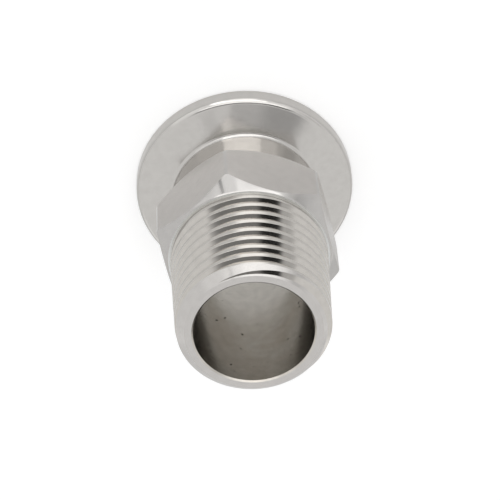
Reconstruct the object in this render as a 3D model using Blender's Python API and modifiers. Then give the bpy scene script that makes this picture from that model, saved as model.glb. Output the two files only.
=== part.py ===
# Vacuum flange threaded adapter: a DN 16 ISO-KF clamp flange turned in one piece with a
# hexagon and a 1/2-14 NPT male pipe thread, bored straight through.
#
# Frame: the part stands on its sealing face. The axis is Z, z = 0 is the sealing face and the
# thread points up. Two flats of the hexagon are square to X. Units are metres.
#
# It is made as the real one is: a turned blank, six milled flats, a thread along a taper that
# runs out just above the hexagon, and a through bore with a recess in the sealing face.

import bpy
import bmesh
from math import ceil, cos, pi, radians, sin, sqrt, tan
from mathutils import Matrix

MM = 0.001
INCH = 25.4 * MM

# Clamp flange, DN 16 ISO-KF
FLANGE_DIAMETER = 30.0 * MM
RIM_WIDTH = 2.35 * MM           # sealing face to the sharp corner of rim and clamping cone
CLAMP_ANGLE = 15.0              # clamping cone, degrees from the sealing face
RIM_EDGE_RADIUS = 1.0 * MM      # rounding between rim and clamping cone
FACE_EDGE_BREAK = 0.2 * MM      # chamfer between rim and sealing face
RECESS_DIAMETER = 17.2 * MM     # seat of the centring ring
RECESS_DEPTH = 3.0 * MM

# Neck and bore
NECK_DIAMETER = 20.0 * MM
NECK_FILLET = 0.6 * MM          # between clamping cone and neck
BORE_DIAMETER = 15.6 * MM
BORE_EDGE_BREAK = 0.2 * MM      # chamfer at the bore's thread end

# Hexagon
HEX_HEIGHT = 9.15 * MM          # sealing face to the hexagon's lower face
HEX_LENGTH = 9.35 * MM          # lower face to upper face
HEX_ACROSS_FLATS = 22.2 * MM
HEX_BAR_DIAMETER = 25.36 * MM   # round bar that the flats are milled on, blunts the corners
HEX_FACE_MARGIN = 0.25 * MM     # from the middle of a flat in to the round edge of each face
HEX_CHAMFER_ANGLE = 45.0        # degrees from the hexagon's faces

# Taper thread, 1/2-14 NPT, crests truncated
THREAD_LENGTH = 16.4 * MM       # hexagon to end face
THREAD_END_DIAMETER = 20.1 * MM # over the crests at the end face
THREAD_TAPER = 1.0 / 16.0       # on diameter
THREAD_PITCH = INCH / 14.0
CREST_WIDTH = 0.6 * MM
ROOT_WIDTH = 0.04 * MM
FLANK_ANGLE = 30.0              # degrees from a plane square to the axis
THREAD_PHASE = 0.394            # turns the thread about the axis, as a share of a turn
RUN_OUT_START = 1.2 * MM        # above the hexagon, where the groove starts to get shallower
RUN_OUT_END = 0.05 * MM         # above the hexagon, where the groove has left the blank
END_CHAMFER_ANGLE = 45.0
END_FACE_DIAMETER = 17.88 * MM  # where the end chamfer meets the end face

# Facets
TURN_STEPS = 60                 # facets of a full turn, the thread's too, so that they line up
ROUNDING_STEPS = 4
CUT_MARGIN = 1.0 * MM           # how far a cutter runs past what it cuts

# Positions that follow from the sizes above
HEX_TOP = HEX_HEIGHT + HEX_LENGTH
OVERALL_LENGTH = HEX_TOP + THREAD_LENGTH
THREAD_DEPTH = (THREAD_PITCH - CREST_WIDTH - ROOT_WIDTH) / 2 / tan(radians(FLANK_ANGLE))


def clear_scene():
    for obj in list(bpy.data.objects):
        bpy.data.objects.remove(obj, do_unlink=True)


def new_collection(name):
    collection = bpy.data.collections.new(name)
    bpy.context.scene.collection.children.link(collection)
    return collection


def link_mesh(name, mesh, collection):
    obj = bpy.data.objects.new(name, mesh)
    collection.objects.link(obj)
    return obj


def rounding(corner_r, corner_z, angle_in, angle_out, radius):
    """Points of an arc that rounds the corner between two straight lines of a profile.

    The angles are the directions of travel before and after the corner, in the r-z plane.
    """
    turn = angle_out - angle_in
    setback = radius * tan(abs(turn) / 2)
    start_r = corner_r - setback * cos(angle_in)
    start_z = corner_z - setback * sin(angle_in)
    side = 1.0 if turn > 0 else -1.0
    centre_r = start_r - side * radius * sin(angle_in)
    centre_z = start_z + side * radius * cos(angle_in)
    points = []
    for step in range(ROUNDING_STEPS + 1):
        angle = angle_in + turn * step / ROUNDING_STEPS
        points.append((centre_r + side * radius * sin(angle), centre_z - side * radius * cos(angle)))
    return points


def crest_radius(z):
    """Radius over the thread crests at height z."""
    return THREAD_END_DIAMETER / 2 + (OVERALL_LENGTH - z) * THREAD_TAPER / 2


def end_chamfer_top():
    """Radius and height where the end chamfer starts on the tapered blank."""
    rise = tan(radians(END_CHAMFER_ANGLE))
    end_face_radius = END_FACE_DIAMETER / 2
    width = (crest_radius(OVERALL_LENGTH) - end_face_radius) / (1 - rise * THREAD_TAPER / 2)
    return end_face_radius + width, OVERALL_LENGTH - width * rise


def turned(name, points, collection):
    """A turned solid from its outline in the r-z plane, which runs down the outer side.

    The outline starts and ends on the axis.
    """
    edges = [(i, i + 1) for i in range(len(points) - 1)]
    mesh = bpy.data.meshes.new(name)
    mesh.from_pydata([(r, 0.0, z) for r, z in points], edges, [])
    obj = link_mesh(name, mesh, collection)
    screw = obj.modifiers.new("Turn", 'SCREW')
    screw.axis = 'Z'
    screw.angle = 2 * pi
    screw.steps = TURN_STEPS
    screw.render_steps = TURN_STEPS
    screw.use_merge_vertices = True
    screw.merge_threshold = 0.000001
    return obj


def flange_and_bar(collection):
    """The lower end as it leaves the lathe: clamp flange, neck and chamfered round bar."""
    rim = FLANGE_DIAMETER / 2
    neck = NECK_DIAMETER / 2
    bar = HEX_BAR_DIAMETER / 2
    face = HEX_ACROSS_FLATS / 2 - HEX_FACE_MARGIN
    cone_foot_z = RIM_WIDTH + (rim - neck) * tan(radians(CLAMP_ANGLE))
    chamfer = (bar - face) * tan(radians(HEX_CHAMFER_ANGLE))
    down = radians(-90.0)
    outwards = radians(-CLAMP_ANGLE)

    points = [(0.0, HEX_TOP), (face, HEX_TOP), (bar, HEX_TOP - chamfer)]
    points += [(bar, HEX_HEIGHT + chamfer), (face, HEX_HEIGHT), (neck, HEX_HEIGHT)]
    points += rounding(neck, cone_foot_z, down, outwards, NECK_FILLET)
    points += rounding(rim, RIM_WIDTH, outwards, down, RIM_EDGE_RADIUS)
    points += [(rim, FACE_EDGE_BREAK), (rim - FACE_EDGE_BREAK, 0.0), (0.0, 0.0)]
    return turned("adapter_body", points, collection)


def flat_cutter(index, collection):
    """A block that mills one flat of the hexagon."""
    flat = HEX_ACROSS_FLATS / 2
    bar = HEX_BAR_DIAMETER / 2
    depth = bar - flat + CUT_MARGIN
    width = 2 * sqrt(bar ** 2 - flat ** 2) + 2 * CUT_MARGIN
    height = HEX_LENGTH + 2 * CUT_MARGIN
    block = bmesh.new()
    bmesh.ops.create_cube(block, size=1.0)
    bmesh.ops.scale(block, vec=(depth, width, height), verts=block.verts)
    bmesh.ops.translate(block, vec=(flat + depth / 2, 0.0, HEX_HEIGHT + HEX_LENGTH / 2), verts=block.verts)
    bmesh.ops.rotate(block, matrix=Matrix.Rotation(index * pi / 3, 3, 'Z'), verts=block.verts)
    mesh = bpy.data.meshes.new("flat_cutter_%d" % (index + 1))
    block.to_mesh(mesh)
    block.free()
    return link_mesh(mesh.name, mesh, collection)


def groove_section(z):
    """Four points across the thread groove whose middle is at height z, from below to above."""
    run = (z - HEX_TOP - RUN_OUT_END) / (RUN_OUT_START - RUN_OUT_END)
    depth = THREAD_DEPTH * min(max(run, 0.0), 1.0)
    half_root = ROOT_WIDTH / 2
    half_mouth = half_root + depth * tan(radians(FLANK_ANGLE))
    heights = [z - half_mouth, z - half_root, z + half_root, z + half_mouth]
    depths = [0.0, depth, depth, 0.0]
    return [(crest_radius(h) - d, h) for h, d in zip(heights, depths)]


def threaded_rod(collection):
    """A solid rod with the taper thread: groove sections along a right-hand helix.

    It starts inside the hexagon and runs past the end face, where it is cut to length.
    """
    first = ceil((HEX_TOP / THREAD_PITCH - 1.5 - THREAD_PHASE) * TURN_STEPS)
    last = ceil((OVERALL_LENGTH / THREAD_PITCH + 1.0 - THREAD_PHASE) * TURN_STEPS)
    rod = bmesh.new()
    sections = []
    for step in range(first, last + 1):
        turn = (step + 0.5) / TURN_STEPS    # half a facet from the turned pieces' edges
        angle = 2 * pi * turn
        points = groove_section((turn + THREAD_PHASE) * THREAD_PITCH)
        sections.append([rod.verts.new((r * cos(angle), r * sin(angle), z)) for r, z in points])

    for lower, upper in zip(sections, sections[1:]):
        for i in range(3):
            rod.faces.new((lower[i], upper[i], upper[i + 1], lower[i + 1]))
    turns = zip(sections, sections[1:], sections[TURN_STEPS:], sections[TURN_STEPS + 1:])
    for lower, upper, lower_above, upper_above in turns:
        rod.faces.new((lower[3], upper[3], upper_above[0], lower_above[0]))

    bottom = sections[0][::-1] + [section[0] for section in sections[1:TURN_STEPS + 1]]
    top = sections[-1] + [section[3] for section in sections[-2:-TURN_STEPS - 2:-1]]
    for rim in (bottom, top):
        middle = rod.verts.new((0.0, 0.0, sum(vert.co.z for vert in rim) / len(rim)))
        for i in range(len(rim)):
            rod.faces.new((rim[i - 1], rim[i], middle))
    bmesh.ops.recalc_face_normals(rod, faces=rod.faces)
    mesh = bpy.data.meshes.new("threaded_rod")
    rod.to_mesh(mesh)
    rod.free()
    return link_mesh(mesh.name, mesh, collection)


def end_shape(collection):
    """What the rod is cut to: the end face, its chamfer and a foot inside the hexagon."""
    clear = crest_radius(HEX_HEIGHT) + CUT_MARGIN
    radius, height = end_chamfer_top()
    rise = tan(radians(END_CHAMFER_ANGLE))
    foot = HEX_TOP - CUT_MARGIN
    points = [(0.0, OVERALL_LENGTH), (END_FACE_DIAMETER / 2, OVERALL_LENGTH)]
    points += [(clear, height - (clear - radius) * rise), (clear, foot), (0.0, foot)]
    return turned("end_shape", points, collection)


def bore_cutter(collection):
    """The bore, the centring ring's recess and the broken edge at the thread end."""
    bore = BORE_DIAMETER / 2
    recess = RECESS_DIAMETER / 2
    above = OVERALL_LENGTH + CUT_MARGIN
    edge = BORE_EDGE_BREAK + CUT_MARGIN
    points = [(0.0, above), (bore + edge, above), (bore, OVERALL_LENGTH - BORE_EDGE_BREAK)]
    points += [(bore, RECESS_DEPTH), (recess, RECESS_DEPTH), (recess, -CUT_MARGIN), (0.0, -CUT_MARGIN)]
    return turned("bore_cutter", points, collection)


def add_boolean(obj, other, operation, label):
    modifier = obj.modifiers.new(label, 'BOOLEAN')
    modifier.operation = operation
    modifier.solver = 'EXACT'
    modifier.object = other


def steel():
    """Turned stainless steel, left bright from the tool."""
    material = bpy.data.materials.new("stainless_steel")
    material.use_nodes = True
    shader = material.node_tree.nodes["Principled BSDF"]
    shader.inputs["Base Color"].default_value = (0.56, 0.54, 0.51, 1.0)
    shader.inputs["Metallic"].default_value = 1.0
    shader.inputs["Roughness"].default_value = 0.25
    return material


def build_adapter():
    parts = new_collection("vacuum_flange_threaded_adapter")
    cutters = new_collection("cutters")
    adapter = flange_and_bar(parts)
    for index in range(6):
        add_boolean(adapter, flat_cutter(index, cutters), 'DIFFERENCE', "Flat %d" % (index + 1))
    thread = threaded_rod(cutters)
    add_boolean(thread, end_shape(cutters), 'INTERSECT', "Cut to length")
    add_boolean(adapter, thread, 'UNION', "Thread")
    add_boolean(adapter, bore_cutter(cutters), 'DIFFERENCE', "Bore")
    for cutter in cutters.objects:
        cutter.hide_render = True
        cutter.display_type = 'WIRE'
    adapter.data.materials.append(steel())
    return adapter


clear_scene()
build_adapter()
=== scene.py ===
import bpy
import bmesh
from math import ceil, cos, pi, radians, sin, tan
from mathutils import Matrix, Vector


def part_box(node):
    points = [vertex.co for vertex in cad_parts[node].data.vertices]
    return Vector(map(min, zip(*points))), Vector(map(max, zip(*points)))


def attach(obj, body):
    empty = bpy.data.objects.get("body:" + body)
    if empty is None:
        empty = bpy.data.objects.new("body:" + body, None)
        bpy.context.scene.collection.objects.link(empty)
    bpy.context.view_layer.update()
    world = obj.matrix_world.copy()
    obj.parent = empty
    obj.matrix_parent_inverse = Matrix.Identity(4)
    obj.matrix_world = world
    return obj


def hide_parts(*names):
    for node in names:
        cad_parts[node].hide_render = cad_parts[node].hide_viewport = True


# Vacuum flange threaded adapter in turned stainless steel, on a pale studio floor.
# The piece is built in millimetres and scaled to metres at the end.

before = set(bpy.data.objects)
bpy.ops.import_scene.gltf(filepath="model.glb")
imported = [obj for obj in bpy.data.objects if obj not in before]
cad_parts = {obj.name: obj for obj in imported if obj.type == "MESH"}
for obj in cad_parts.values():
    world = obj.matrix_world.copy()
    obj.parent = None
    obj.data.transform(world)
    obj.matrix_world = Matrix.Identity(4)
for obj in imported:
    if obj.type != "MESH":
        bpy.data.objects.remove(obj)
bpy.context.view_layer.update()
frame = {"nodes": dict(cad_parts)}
mm = 0.001
print("frame loaded:", ", ".join(frame["nodes"]))


# mesh helpers

turnSteps = 240  # facets of a full turn, for lathe work and thread alike
roundingSteps = 4
sliver = 0.0001  # mm; anything narrower is merged away
crispAngle = 26  # degrees; edges that turn by more stay crisp


def linkMesh(name, mesh):
    made = bpy.data.objects.new(name, mesh)
    bpy.context.scene.collection.objects.link(made)
    return made


def linkDraft(name, draft, material):
    # a draft is a bmesh, and isn't needed any more once it is an object
    mesh = bpy.data.meshes.new(name)
    draft.to_mesh(mesh)
    draft.free()
    mesh.materials.append(material)
    return linkMesh(name, mesh)


def settle(obj):
    # the evaluated mesh takes the place of the modifiers
    graph = bpy.context.evaluated_depsgraph_get()
    mesh = bpy.data.meshes.new_from_object(obj.evaluated_get(graph))
    obj.modifiers.clear()
    obj.data = mesh


def roundedOutline(corners, steps=roundingSteps):
    # corners are (r, z, radius); an arc stands for each corner that has a radius
    points = []
    for i, (r, z, radius) in enumerate(corners):
        here = Vector((r, z))
        if not radius:
            points.append(here)
            continue
        toLast = (Vector(corners[i - 1][:2]) - here).normalized()
        toNext = (Vector(corners[i + 1][:2]) - here).normalized()
        halfAngle = toLast.angle(toNext) / 2
        centre = here + (toLast + toNext).normalized() * radius / sin(halfAngle)
        arm = here + toLast * radius / tan(halfAngle) - centre
        lastArm = here + toNext * radius / tan(halfAngle) - centre
        sweep = -arm.angle_signed(lastArm)
        for step in range(steps + 1):
            points.append(centre + Matrix.Rotation(sweep * step / steps, 2) @ arm)
    return points


def turned(name, outline, material):
    # the outline runs down the outer side, from the axis to the axis
    mesh = bpy.data.meshes.new(name)
    rows = [(r, 0, z) for r, z in outline]
    mesh.from_pydata(rows, [(i, i + 1) for i in range(len(rows) - 1)], [])
    made = linkMesh(name, mesh)
    screw = made.modifiers.new("Turn", 'SCREW')
    screw.angle = 2 * pi
    screw.steps = screw.render_steps = turnSteps
    screw.use_merge_vertices = True
    screw.merge_threshold = sliver
    settle(made)
    made.data.materials.append(material)
    return made


def combine(obj, other, operation):
    # cut faces keep the finish of the tool that cut them
    boolean = obj.modifiers.new(operation.title(), 'BOOLEAN')
    boolean.operation = operation
    boolean.solver = 'EXACT'
    boolean.material_mode = 'TRANSFER'
    boolean.object = other
    settle(obj)
    bpy.data.objects.remove(other, do_unlink=True)


def clearSlivers(mesh):
    # the cuts leave a few triangles that have hardly any width
    cleaned = bmesh.new()
    cleaned.from_mesh(mesh)
    bmesh.ops.remove_doubles(cleaned, verts=cleaned.verts, dist=sliver)
    bmesh.ops.dissolve_degenerate(cleaned, edges=cleaned.edges, dist=sliver)
    cleaned.to_mesh(mesh)
    cleaned.free()


def sharpen(mesh):
    # edges stay crisp where the angle is wide or one tool's cut meets another's
    mesh.set_sharp_from_angle(angle=radians(crispAngle))
    sides = {}
    for face in mesh.polygons:
        for key in face.edge_keys:
            sides.setdefault(key, set()).add(face.material_index)
    for edge in mesh.edges:
        if len(sides[edge.key]) > 1:
            edge.use_edge_sharp = True


# node helpers

def addNode(tree, kind, inputs=None, **settings):
    made = tree.nodes.new(kind)
    for name, value in settings.items():
        setattr(made, name, value)
    for name, value in (inputs or {}).items():
        if isinstance(value, bpy.types.NodeSocket):
            tree.links.new(value, made.inputs[name])
        else:
            made.inputs[name].default_value = value
    return made


def maths(tree, operation, *values):
    return addNode(tree, "ShaderNodeMath", dict(enumerate(values)), operation=operation).outputs[0]


def vectorMaths(tree, operation, *values):
    made = addNode(tree, "ShaderNodeVectorMath", dict(enumerate(values)), operation=operation)
    givesNumber = operation in ('LENGTH', 'DISTANCE', 'DOT_PRODUCT')
    return made.outputs["Value" if givesNumber else "Vector"]


def smoothShare(tree, value, empty, full):
    # 0 at empty, 1 at full, smooth between
    ends = {"Value": value, "From Min": empty, "From Max": full}
    return addNode(tree, "ShaderNodeMapRange", ends, interpolation_type='SMOOTHSTEP').outputs[0]


def noiseShare(tree, place, spots):
    # 0 where the noise is under low, 1 over high
    grain = {"Vector": place, "Scale": spots["scale"], "Detail": spots["detail"]}
    noise = addNode(tree, "ShaderNodeTexNoise", grain).outputs[0]
    ends = {"Value": noise, "From Min": spots["low"], "From Max": spots["high"]}
    return addNode(tree, "ShaderNodeMapRange", ends).outputs[0]


def mixColour(tree, share, first, second):
    # each colour is a socket, or three numbers
    made = addNode(tree, "ShaderNodeMix", data_type='RGBA')
    tree.links.new(share, made.inputs["Factor"])
    for name, colour in (("A", first), ("B", second)):
        if isinstance(colour, bpy.types.NodeSocket):
            tree.links.new(colour, made.inputs[name])
        else:
            made.inputs[name].default_value = (*colour, 1)
    return made.outputs["Result"]


# steel finishes

# Streak makes a finish smoother along its feed marks than across them. Marks is their spacing and
# depth their height, both in mm. Wander is how much they change round the axis, and mottle is how
# much the colour does from spot to spot.
steelFinishes = {
    "turned": {
        "colour": (0.60, 0.582, 0.558), "roughness": 0.13, "streak": 0.7,
        "marks": 0.5, "depth": 0.0012, "wander": 1.5, "mottle": 0.02,
    },
    "milled": {
        "colour": (0.58, 0.555, 0.53), "roughness": 0.24, "streak": 0.3,
        "marks": 0.35, "depth": 0.0016, "wander": 2.5, "mottle": 0.025,
    },
    "thread": {
        "colour": (0.605, 0.58, 0.545), "roughness": 0.09, "streak": 0.3,
        "marks": 0.3, "depth": 0.0010, "wander": 1.0, "mottle": 0.03,
    },
    "faced": {
        "colour": (0.60, 0.58, 0.56), "roughness": 0.19, "streak": 0.5,
        "marks": 0.4, "depth": 0.0012, "wander": 1.2, "mottle": 0.02,
    },
    "chamfered": {
        "colour": (0.54, 0.526, 0.51), "roughness": 0.13, "streak": 0.6,
        "marks": 0.4, "depth": 0.0012, "wander": 1.5, "mottle": 0.02,
    },
    "bored": {
        "colour": (0.65, 0.625, 0.58), "roughness": 0.22, "streak": 0.3,
        "marks": 0.35, "depth": 0.0022, "wander": 6.0, "mottle": 0.05,
    },
    # the shoulder's light colour is painted light: it brightens the hexagon's level faces and their
    # reflection in the clamping cone
    "shoulder": {
        "colour": (0.82, 0.83, 0.82), "roughness": 0.45, "streak": 0.0,
        "marks": 0.3, "depth": 0.0010, "wander": 1.0, "mottle": 0.02,
    },
}

feedMarks = {
    "heightShare": 0.7,  # tells marks apart on 45 degree chamfers, where radius and height change alike
    "detail": 4.0,
    "smoothest": 0.8,  # as a share of the finish's roughness
    "roughest": 1.25,
    "blurTurn": 0.25,  # of a turn, so that the blur runs across the marks
}

mottling = {"scale": 900.0, "low": 0.35, "high": 0.65, "detail": 3.0}

boreStain = {
    "colour": (0.40, 0.31, 0.23),
    "share": 0.22,  # of that colour, where the stain is strongest
    "start": 18,  # mm above the sealing face
    "full": 23,
    "patches": {"scale": 260.0, "low": 0.30, "high": 0.62, "detail": 3.0},
    "pits": {"scale": 1300.0, "low": 0.74, "high": 0.78, "detail": 1.0},
    "pitColour": (0.06, 0.05, 0.04),
}


def toolMarks(tree, place, finish):
    # noise squeezed across the feed marks, with the marks running round the axis
    flat = vectorMaths(tree, 'MULTIPLY', place, (1, 1, 0))
    radius = vectorMaths(tree, 'LENGTH', flat)
    around = vectorMaths(tree, 'NORMALIZE', flat)
    height = addNode(tree, "ShaderNodeSeparateXYZ", {0: place}).outputs["Z"]
    along = maths(tree, 'MULTIPLY_ADD', height, feedMarks["heightShare"], radius)
    across = maths(tree, 'MULTIPLY', along, 1 / (finish["marks"] * mm))
    across = addNode(tree, "ShaderNodeCombineXYZ", {"Z": across}).outputs[0]
    wander = {0: around, "Scale": finish["wander"]}
    spread = addNode(tree, "ShaderNodeVectorMath", wander, operation='SCALE').outputs[0]
    way = vectorMaths(tree, 'ADD', spread, across)
    grain = {"Vector": way, "Scale": 1.0, "Detail": feedMarks["detail"]}
    return addNode(tree, "ShaderNodeTexNoise", grain).outputs[0]


def stained(tree, place, shade):
    # the stain lies towards the threaded end, and a few dark pits lie all over the bore
    height = addNode(tree, "ShaderNodeSeparateXYZ", {0: place}).outputs["Z"]
    start = boreStain["start"] * mm
    full = boreStain["full"] * mm
    ends = {"Value": height, "From Min": start, "From Max": full, "To Max": boreStain["share"]}
    share = addNode(tree, "ShaderNodeMapRange", ends).outputs[0]
    share = maths(tree, 'MULTIPLY', noiseShare(tree, place, boreStain["patches"]), share)
    shade = mixColour(tree, share, shade, boreStain["colour"])
    return mixColour(tree, noiseShare(tree, place, boreStain["pits"]), shade, boreStain["pitColour"])


def steel(name):
    finish = steelFinishes[name]
    material = bpy.data.materials.new(name + "_steel")
    material.use_nodes = True
    tree = material.node_tree
    shader = tree.nodes["Principled BSDF"]
    place = addNode(tree, "ShaderNodeTexCoord").outputs["Object"]
    marks = toolMarks(tree, place, finish)

    colour = Vector(finish["colour"])
    darker = colour * (1 - finish["mottle"])
    lighter = colour * (1 + finish["mottle"])
    shade = mixColour(tree, noiseShare(tree, place, mottling), darker, lighter)
    if name == "bored":
        shade = stained(tree, place, shade)
    tree.links.new(shade, shader.inputs["Base Color"])

    smoothest = finish["roughness"] * feedMarks["smoothest"]
    roughest = finish["roughness"] * feedMarks["roughest"]
    wear = {"Value": marks, "To Min": smoothest, "To Max": roughest}
    tree.links.new(addNode(tree, "ShaderNodeMapRange", wear).outputs[0], shader.inputs["Roughness"])

    relief = {"Height": marks, "Strength": 1.0, "Distance": finish["depth"] * mm}
    tree.links.new(addNode(tree, "ShaderNodeBump", relief).outputs[0], shader.inputs["Normal"])

    around = addNode(tree, "ShaderNodeTangent", direction_type='RADIAL', axis='Z').outputs[0]
    tree.links.new(around, shader.inputs["Tangent"])
    shader.inputs["Metallic"].default_value = 1.0
    shader.inputs["Anisotropic"].default_value = finish["streak"]
    shader.inputs["Anisotropic Rotation"].default_value = feedMarks["blurTurn"]
    return material


finishes = {name: steel(name) for name in steelFinishes}
print("steel finishes made:", len(finishes))


# the adapter, one turned piece

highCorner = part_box("adapter_body")[1]
fullLength = highCorner[2] / mm
rimRadius = highCorner[0] / mm

# Sizes are in mm and angles in degrees. Heights are above the sealing face.
flange = {
    "rimWidth": 2.35,  # sealing face to the corner of rim and clamping cone
    "clampAngle": 15,
    "rimRounding": 1.0,
    "faceEdge": 0.2,  # bevel round the sealing face
    "neckRadius": 10.0,
    "neckFillet": 0.6,
}

hexagon = {
    "start": 9.15,
    "length": 9.35,
    "halfFlats": 11.1,
    "faceRadius": 10.85,  # where the 45 degree chamfers end on the two faces
    "barRadius": 12.68,  # blunts the corners
    "edgeBreak": 0.15,  # height of the narrow bevel between chamfer and upper face
    "edgeSlope": 54,
}

thread = {
    "endRadius": 10.05,  # over the crests at the end face
    "taper": 1 / 32,  # on the radius
    "pitch": 25.4 / 14,  # 14 turns to the inch
    "crest": 0.6,  # width of the flat between two grooves
    "root": 0.04,
    "flankAngle": 30,
    "phase": 0.394,  # turns the thread about the axis, as a share of a turn
    "runOutStart": 1.2,  # above the hexagon, where the groove starts to get shallower
    "runOutEnd": 0.05,
    "runOutShare": 0.02,  # of the full depth, which the groove keeps past the run-out
    "turnsBelow": 1.5,  # how far the rod reaches into the hexagon
    "turnsAbove": 1.2,  # and past the end face
    "crestParts": 3,  # a groove's section has one part on each side, and the third joins two turns
    "crestRounding": 0.06,
    "rootRounding": 0.035,
    "roundingSteps": 3,
    "endFaceRadius": 8.94,  # where the 45 degree chamfer meets the end face
}

bore = {
    "radius": 7.8,
    "edge": 0.2,
    "recessRadius": 8.6,
    "recessDepth": 3.0,
}

hexTop = hexagon["start"] + hexagon["length"]
clear = 1.0  # how far a cutter runs past what it cuts
levelNormal = 0.99  # a face whose normal rises or falls by more is level


def flangeAndNeck():
    rise = tan(radians(flange["clampAngle"]))
    neck = flange["neckRadius"]
    coneFoot = flange["rimWidth"] + (rimRadius - neck) * rise
    inside = hexagon["start"] + clear
    corners = [
        (0, inside, 0),
        (neck, inside, 0),
        (neck, coneFoot, flange["neckFillet"]),
        (rimRadius, flange["rimWidth"], flange["rimRounding"]),
        (rimRadius, flange["faceEdge"], 0),
        (rimRadius - flange["faceEdge"], 0, 0),
        (0, 0, 0),
    ]
    return turned("flange_and_neck", roundedOutline(corners), finishes["turned"])


def sixFlats():
    # a prism that reaches well past the hexagon's two faces
    prism = bmesh.new()
    corner = hexagon["halfFlats"] / cos(pi / 6)
    tall = 4 * hexagon["length"]
    bmesh.ops.create_cone(prism, cap_ends=True, segments=6, radius1=corner, radius2=corner, depth=tall)
    bmesh.ops.translate(prism, vec=(0, 0, hexagon["start"]), verts=prism.verts)
    return linkDraft("six_flats", prism, finishes["milled"])


def hexagonBar():
    bar = hexagon["barRadius"]
    face = hexagon["faceRadius"]
    chamfer = bar - face
    low = hexagon["start"]
    broken = hexagon["edgeBreak"]
    shoulder = face + broken - broken * tan(radians(hexagon["edgeSlope"]))
    outline = [
        (0, hexTop),
        (shoulder, hexTop),
        (face + broken, hexTop - broken),
        (bar, hexTop - chamfer),
        (bar, low + chamfer),
        (face, low),
        (0, low),
    ]
    made = turned("hexagon_bar", outline, finishes["chamfered"])
    # the level faces take the shoulder finish, whose light colour is painted light
    made.data.materials.append(finishes["shoulder"])
    for side in made.data.polygons:
        if abs(side.normal.z) > levelNormal:
            side.material_index = 1
    combine(made, sixFlats(), 'INTERSECT')
    return made


def crestRadius(z):
    return thread["endRadius"] + (fullLength - z) * thread["taper"]


def grooveSection(z):
    # the groove whose middle is at height z, from below to above, as (radius, height)
    slope = tan(radians(thread["flankAngle"]))
    fullDepth = (thread["pitch"] - thread["crest"] - thread["root"]) / 2 / slope
    run = (z - hexTop - thread["runOutEnd"]) / (thread["runOutStart"] - thread["runOutEnd"])
    share = min(max(run, thread["runOutShare"]), 1)
    depth = fullDepth * share + thread["root"] / 2 / slope  # to where the flanks would meet
    mouth = depth * slope
    beside = mouth + thread["crest"] / thread["crestParts"]
    corners = [
        (crestRadius(z - beside), z - beside, 0),
        (crestRadius(z - mouth), z - mouth, thread["crestRounding"] * share),
        (crestRadius(z) - depth, z, thread["rootRounding"] * share),
        (crestRadius(z + mouth), z + mouth, thread["crestRounding"] * share),
        (crestRadius(z + beside), z + beside, 0),
    ]
    return roundedOutline(corners, thread["roundingSteps"])


def threadedRod():
    # groove sections along a right-hand helix, from inside the hexagon to past the end face
    pitch = thread["pitch"]
    first = ceil((hexTop / pitch - thread["turnsBelow"] - thread["phase"]) * turnSteps)
    last = ceil((fullLength / pitch + thread["turnsAbove"] - thread["phase"]) * turnSteps)
    rod = bmesh.new()
    sections = []
    for step in range(first, last + 1):
        turn = (step + 0.5) / turnSteps  # half a facet from the turned pieces' edges
        points = grooveSection((turn + thread["phase"]) * pitch)
        angle = 2 * pi * turn
        sections.append([rod.verts.new((r * cos(angle), r * sin(angle), z)) for r, z in points])
    for lower, upper in zip(sections, sections[1:]):
        for i in range(len(lower) - 1):
            rod.faces.new((lower[i], upper[i], upper[i + 1], lower[i + 1]))

    # the middle of the crest between each turn and the next, and a fan of faces over both ends
    turns = zip(sections, sections[1:], sections[turnSteps:], sections[turnSteps + 1:])
    for lower, upper, lowerAbove, upperAbove in turns:
        rod.faces.new((lower[-1], upper[-1], upperAbove[0], lowerAbove[0]))
    bottomRim = sections[0][::-1] + [section[0] for section in sections[1:turnSteps + 1]]
    topRim = sections[-1] + [section[-1] for section in sections[-2:-turnSteps - 2:-1]]
    for rim in (bottomRim, topRim):
        middle = rod.verts.new((0, 0, sum(vert.co.z for vert in rim) / len(rim)))
        for i in range(len(rim)):
            rod.faces.new((rim[i - 1], rim[i], middle))

    bmesh.ops.recalc_face_normals(rod, faces=rod.faces)
    return linkDraft("threaded_rod", rod, finishes["thread"])


def endShape():
    # the lathe cuts the rod to length and chamfers it at 45 degrees
    endFace = thread["endFaceRadius"]
    width = crestRadius(hexagon["start"]) + clear - endFace
    foot = hexTop - clear
    outline = [
        (0, fullLength),
        (endFace, fullLength),
        (endFace + width, fullLength - width),
        (endFace + width, foot),
        (0, foot),
    ]
    return turned("end_shape", outline, finishes["faced"])


def boreCutter():
    radius = bore["radius"]
    edge = bore["edge"]
    outline = [
        (0, fullLength + clear),
        (radius + edge + clear, fullLength + clear),
        (radius, fullLength - edge),
        (radius, bore["recessDepth"]),
        (bore["recessRadius"], bore["recessDepth"]),
        (bore["recessRadius"], -clear),
        (0, -clear),
    ]
    return turned("bore_cutter", outline, finishes["bored"])


def buildAdapter():
    adapter = flangeAndNeck()
    combine(adapter, hexagonBar(), 'UNION')
    rod = threadedRod()
    combine(rod, endShape(), 'INTERSECT')
    combine(adapter, rod, 'UNION')
    combine(adapter, boreCutter(), 'DIFFERENCE')
    adapter.name = "turned_adapter"
    adapter.data.name = "turned_adapter"
    clearSlivers(adapter.data)
    adapter.data.shade_smooth()
    sharpen(adapter.data)
    # wide faces keep their own direction, and only the narrow roundings between them turn
    normals = adapter.modifiers.new("Normals", 'WEIGHTED_NORMAL')
    normals.mode = 'FACE_AREA'
    normals.keep_sharp = True
    settle(adapter)
    adapter.data.transform(Matrix.Scale(mm, 4))
    return adapter


adapter = buildAdapter()
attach(adapter, "root")
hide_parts("adapter_body")
print("adapter built:", len(adapter.data.polygons), "faces")


# studio

studio = {
    "floorColour": (0.80, 0.80, 0.80),
    "floorRoughness": 0.9,
    "floorSize": 3.0,  # metres
    "cameraLift": 0.35,  # added to the floor where the camera sees it, so that it stays white
    "steelLift": 0.04,  # and where polished steel sees it
    "bounces": (1.5, 3.5),  # what steel sees of it fades out between these numbers of reflections
    "ambient": 0.87,
}
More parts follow.
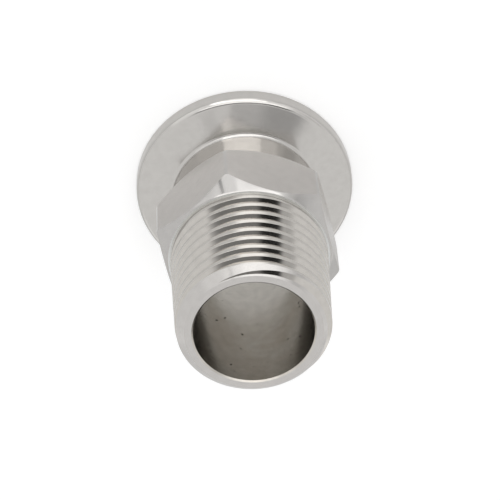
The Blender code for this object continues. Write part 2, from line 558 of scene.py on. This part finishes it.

# Patches of painted light on the floor, which only the steel sees in its reflections. Places and
# reaches are in metres. A patch is full at its first reach and has faded out at its second.
paintedFloorLight = [
    # inside the bore, painted light where the floor lies in the part's shade
    {"place": (0.0, 0.0), "reach": (0.010, 0.0125), "lift": 0.31},
    # towards the photo's camera, where the light falls
    {"place": (-0.0088, -0.0328), "reach": (0.006, 0.014), "lift": 0.68},
    # where the blunted corner of the hexagon looks
    {"place": (0.0012, -0.0212), "reach": (0.0015, 0.0035), "lift": 0.13},
    # far in front, painted light that the steel reflects as it would a white card
    {"place": (0.02, -0.41), "reach": (0.16, 0.21), "lift": 1.0},
    # right beside the flange
    {"place": (0.0, 0.0), "reach": (0.017, 0.021), "lift": 0.14},
    # far from the part, all round
    {"place": (0.0, 0.0), "reach": (0.42, 0.28), "lift": 0.25},
]

# Bright and dark fields round the part, as a photographer's boxes and cards. Azimuth is from +X and
# elevation from the floor. Across and high are half of a field's size, and soft is the width of its
# edge. All five are in degrees.
fields = [
    {"azimuth": -110, "elevation": 28, "across": 35, "high": 18, "soft": 6, "light": 1.12},
    {"azimuth": -57, "elevation": 20, "across": 17, "high": 20, "soft": 5, "light": 1.08},
    {"azimuth": -96, "elevation": 12, "across": 19.5, "high": 14, "soft": 3, "light": 1.6},
    {"azimuth": -83, "elevation": 3, "across": 6, "high": 7, "soft": 2, "light": 2.4},
    {"azimuth": -101, "elevation": 22, "across": 22, "high": 7, "soft": 2, "light": 2.1},
    {"azimuth": -114, "elevation": 38.5, "across": 18, "high": 3.5, "soft": 3, "light": 1.6},
    {"azimuth": -75, "elevation": 32, "across": 1.3, "high": 3, "soft": 1, "light": 0.02},
    {"azimuth": -54, "elevation": 28.5, "across": 15, "high": 2, "soft": 2.5, "light": 0.78},
    {"azimuth": -165, "elevation": 27, "across": 14, "high": 9, "soft": 8, "light": 0.82},
    {"azimuth": -167, "elevation": 29, "across": 8, "high": 4, "soft": 4, "light": 0.6},
    {"azimuth": -105, "elevation": 50, "across": 30, "high": 6, "soft": 5, "light": 1.9},
    {"azimuth": -105, "elevation": 65, "across": 29, "high": 7, "soft": 6, "light": 0.24},
    {"azimuth": -145, "elevation": 61.5, "across": 7.5, "high": 6, "soft": 5, "light": 0.02},
    {"azimuth": -171, "elevation": 56, "across": 5, "high": 4, "soft": 4, "light": 0.55},
    {"azimuth": 150, "elevation": 87, "across": 7, "high": 7, "soft": 6, "light": 0.60},
    {"azimuth": 148, "elevation": 75.5, "across": 8, "high": 7, "soft": 6, "light": 0.44},
    {"azimuth": 9, "elevation": 80.5, "across": 4, "high": 3.5, "soft": 4, "light": 0.73},
    {"azimuth": 13, "elevation": 84.5, "across": 1.5, "high": 2.5, "soft": 2, "light": 1.0},
    {"azimuth": 75, "elevation": 15, "across": 40, "high": 9, "soft": 8, "light": 1.1},
]


def floorLift(tree):
    # light added to the floor for the camera and for the steel, which leaves the part's shadow on it
    path = addNode(tree, "ShaderNodeLightPath").outputs
    place = addNode(tree, "ShaderNodeNewGeometry").outputs["Position"]
    lift = studio["steelLift"]
    for patch in paintedFloorLight:
        away = vectorMaths(tree, 'DISTANCE', place, (*patch["place"], 0))
        full, gone = patch["reach"]
        lift = maths(tree, 'MULTIPLY_ADD', smoothShare(tree, away, gone, full), patch["lift"], lift)
    full, gone = studio["bounces"]
    early = smoothShare(tree, path["Glossy Depth"], gone, full)
    bySteel = maths(tree, 'MULTIPLY', maths(tree, 'MULTIPLY', path["Is Glossy Ray"], lift), early)
    return maths(tree, 'MULTIPLY_ADD', path["Is Camera Ray"], studio["cameraLift"], bySteel)


def floorPaint():
    material = bpy.data.materials.new("studio_floor")
    material.use_nodes = True
    tree = material.node_tree
    shader = tree.nodes["Principled BSDF"]
    shader.inputs["Base Color"].default_value = (*studio["floorColour"], 1)
    shader.inputs["Roughness"].default_value = studio["floorRoughness"]
    shader.inputs["Specular IOR Level"].default_value = 0.0
    shader.inputs["Emission Color"].default_value = (1, 1, 1, 1)
    tree.links.new(floorLift(tree), shader.inputs["Emission Strength"])
    return material


def buildFloor():
    grid = bmesh.new()
    bmesh.ops.create_grid(grid, x_segments=1, y_segments=1, size=studio["floorSize"])
    made = linkDraft("studio_floor", grid, floorPaint())


def direction(azimuth, elevation):
    turn = radians(azimuth)
    rise = radians(elevation)
    return Vector((cos(turn) * cos(rise), sin(turn) * cos(rise), sin(rise)))


def fieldShare(tree, way, field):
    # how far a direction lies inside the field, from 0 to 1
    centre = direction(field["azimuth"], field["elevation"])
    side = direction(field["azimuth"] + 90, 0)
    edge = field["soft"] / 2
    ahead = vectorMaths(tree, 'DOT_PRODUCT', way, centre)
    share = None
    for axis, half in ((side, field["across"]), (centre.cross(side), field["high"])):
        off = maths(tree, 'ABSOLUTE', vectorMaths(tree, 'DOT_PRODUCT', way, axis))
        angle = maths(tree, 'ARCTAN2', off, ahead)
        inside = smoothShare(tree, angle, radians(half + edge), radians(half - edge))
        share = maths(tree, 'MULTIPLY', share, inside) if share else inside
    return share


def buildWorld():
    world = bpy.data.worlds.new("studio")
    bpy.context.scene.world = world
    world.use_nodes = True
    tree = world.node_tree
    background = tree.nodes["Background"]
    way = addNode(tree, "ShaderNodeTexCoord").outputs["Generated"]
    light = studio["ambient"]
    for field in fields:
        parts = {"Factor": fieldShare(tree, way, field), "A": light, "B": field["light"]}
        light = addNode(tree, "ShaderNodeMix", parts).outputs["Result"]
    # the camera sees plain white past the floor
    seen = addNode(tree, "ShaderNodeLightPath").outputs["Is Camera Ray"]
    light = addNode(tree, "ShaderNodeMix", {"Factor": seen, "A": light, "B": 1.0}).outputs["Result"]
    tree.links.new(light, background.inputs["Strength"])
    background.inputs["Color"].default_value = (1, 1, 1, 1)


shot = {
    "lens": 170.4,  # mm
    "sensor": 36,  # mm across
    "nearest": 0.01,  # metres; nothing closer to the lens is drawn
    "distance": 0.3165,  # metres from the aim to the lens
    "aim": (-0.00018, 0.00003, 0.01647),
    "azimuth": -10.335,  # degrees, from -Y
    "elevation": 54.967,
    "roll": 176.18,  # the photo has the threaded end down
}


def buildCamera():
    lens = bpy.data.cameras.new("photo_camera")
    lens.lens = shot["lens"]
    lens.sensor_width = shot["sensor"]
    lens.clip_start = shot["nearest"]
    camera = bpy.data.objects.new("photo_camera", lens)
    bpy.context.scene.collection.objects.link(camera)
    back = direction(shot["azimuth"] - 90, shot["elevation"])
    camera.location = Vector(shot["aim"]) + back * shot["distance"]
    upright = (-back).to_track_quat('-Z', 'Y').to_matrix().to_4x4()
    roll = Matrix.Rotation(radians(shot["roll"]), 4, 'Z')
    camera.rotation_euler = (upright @ roll).to_euler()
    bpy.context.scene.camera = camera


buildFloor()
buildWorld()
buildCamera()
bpy.context.scene.view_settings.view_transform = 'Standard'
print("studio ready")
